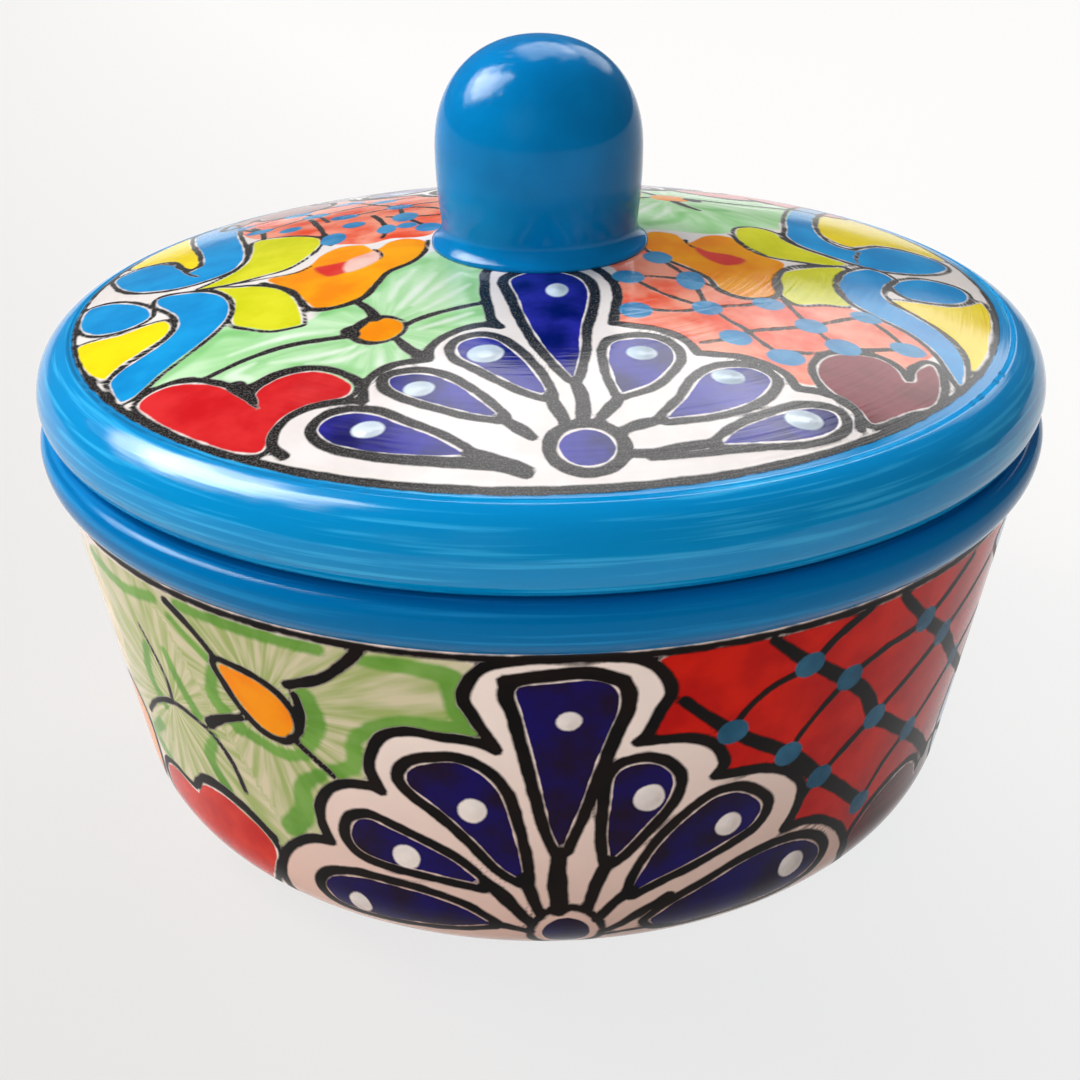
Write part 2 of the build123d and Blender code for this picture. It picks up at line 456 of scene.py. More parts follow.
bowlFan = {
    "middle": (4.3, 79.5), "dot": (5.2, 6.2), "dotPen": (1.7, 1.9), "petalPen": (0.2, 2.8), "scallopPen": 2.7,
    "foot": [(60, 92), (30, 95), (-25, 95), (-50, 92)],
    "petals": [  # outline, then the white dot in it as x, y and half its size
        ([(-4.5, 8.6), (1.3, 7.3), (8, 6.9), (12.2, 9), (13, 14), (11.3, 20.7), (8.8, 30.7), (6.3, 41.5),
          (3, 52.8, 0), (1.3, 47.3), (-0.3, 37.3), (-2, 26.5), (-3.7, 15.7)], (4.4, 17.3, 2.3, 2.5)),
        ([(-26.2, 34.8), (-24.5, 31.5), (-20.3, 29.7), (-16.2, 29.2), (-12, 31.5), (-8.7, 36.5), (-6.6, 45.7),
          (-5.3, 54), (-4.5, 61.9, 0), (-8.7, 58.2), (-13.7, 50.7), (-19.5, 43.2), (-25.3, 37.3)],
          (-13.9, 42.2, 2.8, 3.5)),
        ([(-39.9, 55.7), (-38.7, 50.7), (-35.3, 48.8), (-30.3, 50.7), (-24.5, 53.6), (-18.7, 57.3), (-15.3, 60.7),
          (-12.8, 63.6, 0), (-18.7, 62.5), (-26.2, 61.3), (-33.7, 60.3), (-38.3, 58.6)], (-28.3, 58, 2.9, 3.5)),
        ([(-49.1, 73.2), (-47, 69.8), (-40.3, 67.5), (-32.8, 67.6), (-24.5, 68.8), (-17, 71.6), (-11.5, 76, 0),
          (-20.3, 78.2), (-41, 79.5), (-47, 77.8)], (-41.2, 76.1, 2.5, 3.5)),
        ([(12.6, 39), (13, 33.2), (14.7, 30.7), (18.8, 30), (22.2, 31.9), (24.3, 35.7), (23.2, 41.8), (19.4, 47.8),
          (15.5, 53.6), (12.9, 56.6, 0), (12.2, 49)], (19.8, 39.8, 3.1, 3.7)),
        ([(29.7, 45.7), (33.8, 42.8), (38, 42.8), (42.2, 45.7), (44.3, 49), (43, 53.2), (37.6, 56.6), (29.4, 60.8),
          (22.6, 64), (17.8, 66.8, 0), (19.2, 62), (23.4, 53.2)], (37.2, 51.7, 2.8, 3.2)),
        ([(22.2, 77.3, 0), (26.3, 73.2), (33.8, 69), (42.2, 64.8), (50.5, 63.2), (57.2, 64.4), (62.2, 68.2),
          (63.4, 71.5), (61.3, 75.7), (54.7, 79.4), (42.2, 80.7), (25.5, 81.1)], (55.5, 70.8, 3.3, 3.7)),
    ],
    "tails": [  # points, then widths along them; the last is a second line over the tallest petal
        ([(2.6, 54), (2.4, 62.9), (2.8, 71)], (3.4, 4.2, 4.0)), ([(-4.2, 61), (-3, 66), (-1, 73)], (3.0, 3.2, 2.4)),
        ([(-12.4, 62.6), (-9.6, 65.6), (-6.6, 70), (-2.8, 76)], (3.0, 3.6, 2.4)),
        ([(-11, 75.8), (-7.6, 77), (-3.4, 79)], (2.8, 2.2)), ([(12.6, 57), (10.6, 62.6), (8.6, 71)], (3.6, 2.8)),
        ([(17.4, 66.6), (14.6, 69.2), (10.8, 74.5)], (3.4, 2.6)),
        ([(26, 69.6), (19.4, 74.2), (15.4, 77.9), (12, 80.4)], (2.6, 2.4)), ([(28, 82), (21.4, 80.8), (13, 82)], 1.6),
        ([(-6.4, 6.8), (0.5, 5.4), (8, 4.9), (13.4, 7.4)], 3.4),
    ],
    "scallop": [
        (-62.6, 84), (-62, 78.2), (-60.8, 72.3), (-58.7, 67.3), (-55.3, 63.2), (-50.3, 59.4), (-45.3, 58.5, 0),
        (-46.6, 53.2), (-46.2, 48.2), (-43.7, 43.2), (-39.5, 39.8), (-33.7, 39), (-31.6, 39.8, 0), (-33.3, 34),
        (-32.4, 29), (-29.5, 24), (-25.3, 21.9), (-18.7, 22.3), (-12, 23.2), (-8.7, 25, 0), (-12, 17.3),
        (-14.1, 11.5), (-13.3, 8.2), (-10.3, 3.6), (-4.5, 1.5), (3, 1.1), (10, 1.1), (15.9, 2.2), (19.7, 5.2),
        (22.2, 11.5), (20.5, 16.5), (18, 23.2), (16.8, 24, 0), (21.3, 24), (27.2, 24.8), (31.3, 27.3), (33.8, 31.5),
        (34.3, 34), (32.6, 36.5, 0), (36.3, 36.9), (41.3, 37.3), (46.3, 39), (50.5, 42.3), (53.4, 46.5), (53.8, 51.5),
        (52.6, 55.7), (51.3, 58.2, 0), (54.7, 58.2), (60.5, 59.8), (66.3, 64), (70.5, 69), (73, 75.7), (74.5, 84),
    ],
}
bowlLeaves = [
    (-12, 2.6), (-12.5, 12), (-9, 24), (-20, 22), (-30, 25), (-33, 33), (-32, 39), (-41, 41), (-46, 49), (-46, 58),
    (-54, 62), (-61, 67), (-70, 60), (-79, 56), (-86, 62), (-96, 64), (-106, 58), (-112, 44), (-106, 30), (-112, 14),
    (-106, 5), (-80, 2.6), (-45, 2.6),
]
bowlLeafEdges = [  # deeper green, drawn round each leaf before pale strokes were pulled in from it
    ([(-33, 4.5), (-22, 5), (-16, 6.5), (-15, 13), (-12.5, 19)], (3, 5, 6)),
    ([(-13, 20.5), (-22, 19.5), (-30, 21.5), (-35.5, 27), (-36.5, 34), (-41, 37)], (4, 3.5, 4)),
    ([(-44, 38.5), (-49.5, 44), (-50.5, 52), (-55, 58)], (3, 5, 6)), ([(-40, 4), (-55, 4), (-72, 4.2)], (3.5, 3)),
    ([(-44.5, 17.5), (-43, 24), (-46, 31)], (4.5, 4)), ([(-66.5, 19), (-68.5, 27), (-63, 33)], (3, 5)),
    ([(-60, 34), (-53, 36), (-47, 34.5)], (3.5, 3)), ([(-76, 9), (-70, 14), (-66, 17)], (2, 2.5)),
    ([(-72, 40), (-76, 48), (-73, 55)], (3, 4)), ([(-82, 21), (-79, 30), (-76, 36)], (2.5, 3.5)),
    ([(-90, 24), (-93, 33), (-90, 40)], (3, 3.5)), ([(-80, 6), (-92, 9), (-106, 8)], (3, 4)),
    ([(-110, 12), (-116, 24), (-114, 38)], (1, 2.4, 1)), ([(-96, 49), (-103, 56), (-98, 62)], (3, 4)),
]
bowlVeins = [
    ([(-75.4, 4.8), (-70, 9), (-64.5, 15)], (2.6, 2)),
    ([(-47.9, 15.7), (-40, 11.5), (-35.8, 7.3), (-31.7, 2.3)], 2.6),
    ([(-61.7, 29.8), (-68.3, 33.2), (-72.4, 36.4)], (2, 3.4)), ([(-49.6, 30.3), (-45.8, 34), (-41.7, 38.2)], 1.9),
    ([(-46.7, 18), (-46, 23), (-47, 28.5)], (2.2, 1.4)),
    ([(-85, 36.5), (-85, 29.8), (-87.5, 23.2), (-90, 18.2)], 1.4),
    ([(-102.5, 49), (-94.2, 41.5), (-85, 37), (-78.3, 37.3), (-72.5, 39.8), (-68.3, 45.7), (-66.5, 53.2)], 1.7),
    ([(-86, 62), (-81.7, 56.5), (-75.8, 55.7), (-68.3, 58.2), (-60.8, 64)], 2.0),
]
bowlLattice = [
    (20, 2.6), (45, 2.2), (75, 2.2), (100, 2.4), (110, 4), (113, 14), (119, 24), (119, 34), (112, 46), (108, 58),
    (104, 64), (96, 62), (90, 60.5), (83, 62), (77, 67), (73.5, 73), (70, 68.5), (63, 61.5), (52, 58), (54, 52),
    (52.5, 45), (46, 39), (33, 36.5), (34, 32), (31, 27), (24, 24), (17, 24), (20.5, 16.5), (22.3, 11), (20, 5.5),
]
bowlLatticeLines = [
    ([(40.5, 2.6), (45.5, 8), (54.7, 16), (65.5, 26), (70.9, 35), (78, 41), (97, 57), (105, 65)], (2.4, 3.9, 3.3)),
    ([(24.7, 14.4), (35.1, 25.3), (48.4, 35.7), (58, 46.1), (64.7, 52.3), (73.8, 61.5)], (2.4, 4.0, 3.4)),
    ([(70, 2.6), (80, 13.6), (90, 22.3), (102.5, 35.7), (118, 48)], (2.4, 3.9, 3.3)),
    ([(61.3, 2.3), (54.7, 6.5), (49.3, 12.2), (41.3, 15.7), (36.3, 21.5), (35.1, 25.3)], (2.4, 1.6)),
    ([(94, 4), (80, 13.6), (68, 15.7), (60.1, 19.8), (51.3, 29.8), (48.4, 35.7)], (2.4, 1.6)),
    ([(108, 12), (90, 22.3), (76, 31), (66.3, 38.2), (58, 46.1), (53, 53)], (2.4, 1.6)),
    ([(116, 30), (102.5, 35.7), (86.7, 47.3), (80, 52), (73.8, 61.5)], (2.4, 1.6)),
]
bowlLatticeDots = [
    (49.3, 12.2), (60.1, 19.8), (35.1, 25.3), (70.9, 35.3), (48.4, 35.7), (58, 46.1), (73.8, 61.5), (80, 13.6),
    (90, 22.3), (86.7, 47.3), (102.5, 35.7),
]
bowlShapes = {
    "red": [
        [(-87, 64.5, 0), (-83.5, 60), (-76.7, 58.6), (-70, 60.3), (-64.2, 64), (-61.7, 68.2), (-63.3, 73), (-67, 80),
         (-75, 90), (-81, 95, 0), (-92, 88), (-101, 79), (-105, 71), (-102, 65), (-96, 63), (-90, 64)],
    ],
    "maroon": [
        [(73.3, 73.2), (78.3, 65.7), (85, 61.9), (92.5, 61.1), (97.5, 64), (101, 70, 0), (105, 64.5), (112, 63.5),
         (118, 68), (119, 76), (112, 84), (100, 93), (94, 96, 0), (84, 90), (76, 81)],
    ],
    "orange": [
        [(-108, 53), (-114, 48), (-121, 50), (-127, 58), (-128, 68), (-122, 76), (-114, 76), (-110, 69)],
        [(-64.4, 16.4), (-60, 16.3), (-55, 17.4), (-50.8, 20.2), (-48.6, 24), (-48.9, 28.2), (-51.6, 31),
         (-55.4, 30.6), (-59.2, 27.4), (-62.4, 22.2)],
    ],
    "lime": [[(-107, 14), (-112, 7), (-122, 8), (-129, 18), (-129, 34), (-122, 44), (-114, 45), (-108, 36)]],
    "scroll": [
        [(111, 8), (120, 5), (128, 9), (133, 19), (132, 31), (126, 42), (121, 53), (120, 63), (124, 74, 0), (116, 72),
         (111, 60), (114, 48), (121, 36), (123, 24), (119, 16)],
        [(137, 9), (146, 7), (152, 14), (148, 23), (139, 23), (135, 16)],
        [(-133, 10), (-142, 6), (-150, 11), (-153, 22), (-150, 36), (-144, 48), (-142, 60), (-146, 74, 0), (-137, 70),
         (-132, 58), (-136, 46), (-141, 34), (-143, 22), (-140, 15)],
    ],
    "yellow": [
        [(137, 29), (148, 30), (153, 42), (149, 57), (138, 69), (128, 72, 0), (126, 61), (130, 48), (134, 38)],
    ],
}
bowlPens = {"red": (0.4, 2.0), "maroon": (0.2, 2.2), "orange": (0.1, 2.1), "scroll": (0.3, 2.0), "yellow": (0.3, 1.8)}

wallField.paint(bowlShapes | {"green": [bowlLeaves], "lattice": [bowlLattice]},
                {"leafEdge": bowlLeafEdges, "ink": bowlVeins + bowlLatticeLines},
                [(*dot, bowl["berry"], bowl["berry"]) for dot in bowlLatticeDots], bowlPens)
wallField.paintFan(bowlFan)
wallField.lay("ink", np.abs(wallDown - bowl["lineDown"]) - bowl["lineHalf"])

rimEnd = alongAt(bowlRows, mouthEdge[-1])
bowlEdges = {"blue": np.maximum(creaseAlong - alongBowl, alongBowl - rimEnd),
             "clay": bowl["glazeEnd"] - wallDown}  # the foot was wiped clean of glaze
keepPaint(bowlPiece, wallField, onWall, bowlEdges,
          leafRays(wallField, bowl["flowers"], bowl["raySpread"], bowl["rayLength"]))
# painted shade: how far down the wall the fan's white is darkened towards the foot
keepOnMesh(bowlPiece, "low", np.clip((wallDown - bowl["shadeFrom"]) / bowl["shadeOver"], 0, 1))

# Lid

lidLow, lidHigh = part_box("lid")
lid = {
    "radius": lidHigh.x / mm, "foot": lidLow.z / mm, "crown": lidHigh.z / mm,
    "edgeSlope": 17.4, "shoulder": 11.6, "lip": 7.7, "lipInner": 110.0, "innerRound": 4.0, "wall": 8.0,
    "around": 720, "aroundInside": 180, "step": 0.95, "stepInside": 4.0, "stepRound": 1.5, "underKnob": 23.0,
    "ringAt": 109.4, "ringShift": 1.2, "ringWidth": 2.5, "ringLeast": 0.5,  # ink ring inside the roll
    "blueUnderRing": 0.5, "flowers": [(-34.8, -50.8)], "raySpread": 4.5, "rayLength": 22.0, "latticePen": 1.35,
}
widest = lid["foot"] + lid["lip"]
sinEdge = math.sin(math.radians(lid["edgeSlope"]))
domeEdge = lid["radius"] - lid["shoulder"] * (1 - sinEdge)
dome = domeEdge / sinEdge
domeCentre = lid["crown"] - dome
domeMiddle = (0, domeCentre)
under = dome - lid["wall"]
innerRoundAt = lid["lipInner"] - lid["innerRound"]
innerRoundHeight = domeCentre + math.sqrt((under - lid["innerRound"]) ** 2 - innerRoundAt ** 2)


def domeAngle(radius, out):
    return math.degrees(math.acos(out / radius))


innerRoundAngle = domeAngle(under - lid["innerRound"], innerRoundAt)
knobAngle = domeAngle(dome, lid["underKnob"])
shoulderEnd = 90 - lid["edgeSlope"]
lidUnder = arcRows(domeMiddle, under, 90, innerRoundAngle, lid["stepInside"])
lidInner = arcRows((innerRoundAt, innerRoundHeight), lid["innerRound"], innerRoundAngle, 0, lid["stepRound"])
lipRound = arcRows((lid["radius"] - lid["lip"], widest), lid["lip"], -90, 0, lid["step"])
shoulder = arcRows((lid["radius"] - lid["shoulder"], widest), lid["shoulder"], 0, shoulderEnd, lid["step"])
lidTop = arcRows(domeMiddle, dome, shoulderEnd, knobAngle, lid["step"])
lidCrown = arcRows(domeMiddle, dome, knobAngle, 90, lid["stepInside"])
lidRows = sectionRows([
    (lidUnder + lidInner + [(lid["lipInner"], lid["foot"])], lid["aroundInside"]),
    (lipRound + shoulder + lidTop, lid["around"]),
    (lidCrown[1:], lid["aroundInside"]),
])
lidPiece, lidPoints = turnedPiece("painted_lid", lidRows)
alongLid = lidPoints[:, 4]
onDome = alongLid >= alongAt(lidRows, shoulder[-1])
lidOut = np.hypot(lidPoints[:, 0], lidPoints[:, 1])

# The lid's canvas is its plan, front at the bottom, and the pattern comes twice round it
lidField = PaintedField([lidPoints[:, :2], -lidPoints[:, :2]])
bandField = PaintedField([lidPoints[:, :2]])  # flowers and scrolls, each drawn afresh
lidFan = {
    "middle": (8.8, -97.0), "dot": (5.4, 5.4), "dotPen": (0.5, 3.0), "petalPen": (0.35, 2.5), "scallopPen": 2.4,
    "foot": [(50, -95), (25, -105), (0, -108), (-25, -105)],
    "petals": [
        ([(-5.8, -27.9), (-6.7, -30), (-5, -38.3), (-3.3, -47.5), (-0.4, -58.3), (3.3, -67.5), (6.5, -73.8, 0),
          (7.9, -65), (8.5, -53.3), (10, -43.3), (10.4, -35), (8.3, -28.3), (3.3, -25), (-2.5, -25.4)],
          (3.75, -35.3, 2.5, 3.6)),
        ([(-17.5, -61.7), (-16.7, -59.2), (-13.3, -57.5), (-10, -58.5), (-6.7, -62.5), (-3.3, -68.3), (-0.4, -75),
          (1.3, -80.4, 0), (-2.5, -78.3), (-7.5, -74.2), (-12.5, -69.2), (-16.7, -65)], (-11.6, -64.2, 3.9, 3.5)),
        ([(-30.8, -71.7), (-28.3, -70.8), (-24.2, -71), (-20, -73.3), (-15, -78.3), (-10.8, -83.8), (-8.3, -87.3, 0),
          (-13.3, -85.8), (-20, -82.5), (-26.7, -78.3), (-30.4, -74.6)], (-24.8, -76.2, 3.2, 2.7)),
        ([(-44.2, -86.7), (-42.5, -83.8), (-38.3, -82.8), (-33.3, -84.2), (-27.5, -88.3), (-20.8, -92.9),
          (-14.2, -98.8, 0), (-22.5, -98.2), (-32.5, -95.8), (-40, -92.5), (-43.3, -89.2)], (-34.2, -88.8, 3.3, 2.7)),
        ([(14.2, -64.2), (15.4, -60), (19.2, -58.1), (23.3, -57.9), (26.7, -60.4), (27.7, -65), (25.8, -70),
          (22.1, -75.4), (16.3, -79.3, 0), (15, -74.2)], (21, -63.7, 3.2, 2.8)),
        ([(32.5, -72.9), (35.8, -69.2), (40, -67.3), (44.2, -67.3), (47.1, -70), (45.8, -74.6), (41.7, -79.6),
          (34.2, -84.2), (24.6, -87.1, 0), (28.8, -80.8)], (38.5, -71, 3.5, 2.8)),
        ([(47.5, -82.9), (51.7, -80.4), (55.8, -79.2), (59.2, -80), (59.6, -83.3), (56.7, -87.1), (50.8, -90.4),
          (42.5, -92.5), (34.6, -94.2, 0), (40, -88.3)], (52.5, -83.6, 4, 3.2)),
    ],
    "tails": [
        ([(6.9, -75), (8.2, -81), (8.2, -89)], (2.6, 3.2, 3.0)),
        ([(1.5, -80), (2.8, -84), (4.5, -89)], (2.4, 3.4, 2.8)),
        ([(-8, -87.6), (-4.5, -91), (-1.8, -94)], (2.4, 3.2, 2.4)),
        ([(-14, -98), (-9.4, -100), (-5, -102), (-1.6, -103.6)], (3.0, 3.0, 2.4, 1.2)),
        ([(-42, -93), (-32, -97.6), (-20, -100.2), (-13.7, -101.2), (-7.9, -102.4), (-2.9, -104.7)],
          (2.0, 3.2, 3.4, 3.0)),
        ([(16, -80.5), (14, -84), (11.8, -87.6)], (2.4, 3.0, 2.4)),
        ([(24, -87.5), (19.5, -89.5), (15.5, -91.8)], (2.4, 3.2, 2.6)),
        ([(34.5, -93.5), (27.6, -95.7), (23, -97.9), (18, -98.5)], (2.2, 3.0, 2.6)),
        ([(46, -93.5), (36, -96.2), (25.9, -98.6), (20.9, -99.9)], (1.6, 2.2, 1.2)),
    ],
    "scallop": [
        (-50.2, -94.2), (-52.9, -90.8), (-53.2, -86.7), (-50.8, -81.7), (-45.8, -78.8), (-40, -78.3),
        (-35.8, -79.2, 0), (-36.3, -74.2), (-34.2, -69.2), (-30, -66.3), (-23.3, -65.4, 0), (-23.3, -60.8),
        (-20.8, -56.7), (-16.7, -53.3), (-12.5, -51.8), (-8.6, -53, 0), (-10.3, -50), (-11.3, -44.2), (-12.3, -36.7),
        (-12.5, -30.8), (-12.1, -23.3), (-6, -17), (6, -17), (13.3, -23.3), (16.3, -30), (17.1, -37.5), (16.4, -44.2),
        (15.6, -51.5, 0), (20, -52.1), (25, -53.3), (29.2, -55.8), (31.7, -59.2), (32.9, -62.5, 0), (35.8, -62.5),
        (41.7, -62.5), (46.7, -64.2), (50.8, -67.5), (52.5, -72.5, 0), (56.7, -72.7), (60, -73.8), (62.1, -75),
        (64.2, -79.2), (63.8, -84.2),
    ],
}
lidLeaves = [
    (-24, -8), (-14, -18), (-12, -32), (-10, -51), (-14, -52), (-22, -58), (-24, -66), (-34, -69.5), (-37, -77),
    (-41, -70), (-50, -64.5), (-58, -68), (-64, -66), (-74, -61), (-84, -62), (-86, -60), (-80, -51), (-73, -42),
    (-69, -37.5), (-60, -43), (-52, -43), (-46, -36), (-40, -33), (-36, -22), (-29, -13),
]
lidLeafStreaks = [
    ([(-31, -41), (-27.5, -32), (-24, -23)], (1, 2.4, 1)), ([(-28, -40), (-23, -31), (-18.5, -24)], (1, 2.2, 1)),
    ([(-33.5, -37), (-32, -28), (-29, -20)], (0.8, 1.8, 0.8)),
    ([(-25.5, -43), (-20, -36.5), (-16, -31)], (0.8, 1.8, 0.8)),
    ([(-40, -57.5), (-48, -59.5), (-57, -59.5)], (0.8, 2.2, 1)),
    ([(-37, -59), (-42, -62.3), (-49, -62)], (0.8, 1.8, 0.8)), ([(-33.5, -60), (-33.5, -65.5)], (0.8, 1.8)),
    ([(-30, -61), (-29.5, -65.5)], (0.8, 1.6)), ([(-45, -49), (-56, -49), (-67, -53)], (0.8, 2.0, 0.8)),
    ([(-61, -58.6), (-65, -62), (-61, -65)], (1.2, 3, 2)), ([(-26, -52), (-20, -49), (-15, -46)], (0.8, 1.6, 0.8)),
]
lidLeafEdges = [
    ([(-83, -59), (-76, -51), (-70, -42), (-62, -46)], (3, 4, 3)), ([(-48, -39), (-43, -38), (-39, -41)], (4, 3)),
    ([(-37, -30), (-34, -20), (-27, -14)], (3, 4)), ([(-15, -24), (-15.5, -34), (-14.5, -39)], (4, 3)),
    ([(-42, -54.5), (-52, -55.5), (-62, -59)], (2.5, 2)), ([(-24, -51), (-17, -47.5), (-13, -46)], (3, 4)),
    ([(-38, -68), (-44, -64.5), (-52, -61.5)], (2.5, 3)),
]
lidVeins = [
    ([(-35.8, -45.4), (-38, -40), (-41.2, -35)], (2.8, 1.8)),
    ([(-41.6, -52.3), (-53.7, -52.9), (-62, -55.8), (-72, -62)], (2.2, 1.7)),
    ([(-28.7, -49.2), (-26.7, -47.5), (-20.8, -44.2), (-12.3, -41)], 1.8),
    ([(-30.8, -55.4), (-28, -60), (-24, -65)], (2, 3)), ([(-41.5, -49.5), (-40.2, -52)], 3.6),
    ([(-84, -62), (-76, -60), (-69, -63.4), (-63.5, -67.5)], 2.0),
    ([(-63.5, -67), (-60.6, -71), (-57.6, -77)], (4.4, 3.2, 0.6)),
    ([(-60, -67.6), (-54, -63.8), (-48, -63.8), (-42, -67), (-36.5, -72)], 2.0),
]
lidLattice = [
    (17, -22), (17.3, -37), (16.4, -51), (22, -52.4), (28, -55), (33, -62.3), (41.7, -62), (47, -64), (52, -70),
    (57, -70), (56.5, -62), (60.5, -56), (66, -53.3), (73, -53.5), (77, -58), (80, -55), (84, -51), (85.5, -47),
    (81.5, -40.5), (75, -35), (69.5, -31.5), (63, -32.5), (57, -34.8), (54, -32), (45, -34.5), (39.5, -31),
    (37.5, -25), (33.5, -19.5), (28, -14), (23, -6), (14, -18),
]
lidLatticeLines = [
    [(27.5, -13.3), (34.2, -26.7), (36.7, -41.3)], [(16.5, -43.5), (30, -44), (36.7, -41.3), (50.8, -35.8)],
    [(37.5, -41), (40.5, -46), (44.5, -51), (41.7, -54.2), (34, -58)],
    [(44.5, -51), (54, -47), (59.2, -44.6), (69, -37.5), (72.9, -35.4)], [(44.5, -51), (47, -55), (51.7, -61.3)],
    [(54.5, -32), (56, -37), (59.2, -44.6), (65, -52.5), (80, -48.3)], [(65, -52.5), (60, -56.5), (51.7, -58.5)],
    [(17, -30), (20, -26.7), (34.2, -26.7), (39, -29)], [(72.9, -35.4), (77, -42), (80, -48.3)],
    [(20, -26.7), (28, -36), (36.7, -41.3)],
]
lidLatticeDots = [
    (20, -26.7, 3.8, 3.8), (34.2, -26.7, 3.3, 5.4), (27.5, -13.3, 3.3, 4.2), (20.8, -44.6, 3.7, 3.9),
    (36.7, -41.3, 3.5, 3.5), (50.8, -35.8, 3.8, 3.2), (59.2, -44.6, 3.7, 3.4), (41.7, -54.2, 3.6, 3.3),
    (65, -52.5, 3.9, 3.5), (72.9, -35.4, 3.7, 2.9), (80, -48.3, 4.0, 3.2), (51.7, -60.5, 4.2, 3.3),
]
lidHearts = {
    "red": [
        [(-84.1, -67.1), (-83.3, -64.2), (-79.5, -61.7), (-74.5, -62.1), (-69.5, -64.2), (-65.3, -67.5),
         (-62.8, -70.4), (-57.4, -76.7, 0), (-58.7, -71.3), (-56.6, -67.9), (-52, -65.7), (-47, -65.8), (-42, -68.8),
         (-38.7, -73.3), (-39.5, -76.3), (-45.3, -77.9), (-50.3, -79.6), (-53.3, -83.3), (-54.1, -88.3),
         (-55.3, -91.7), (-60.3, -90.4), (-67, -85.8), (-74.5, -79.2), (-81.2, -71.7)],
    ],
    "orange": [
        [(-40.2, -49.4), (-37.5, -46), (-33.5, -45.5), (-30.2, -48), (-29.8, -52.3), (-32.5, -55.6), (-36.8, -55.6),
         (-39.8, -52.6)],
    ],
    "maroon": [
        [(58.3, -68.3), (58.3, -62.5), (61.7, -57.5), (66.7, -55.4), (72.5, -55.4), (75.4, -58.3), (76.5, -63.3, 0),
         (78.8, -62.5), (80.4, -57.5), (84.2, -53.3), (84.6, -59.2), (82.9, -66.7), (80.8, -70.8), (75, -75),
         (69.2, -80), (66.7, -81.3), (65, -77.5), (61.7, -74.2)],
    ],
}
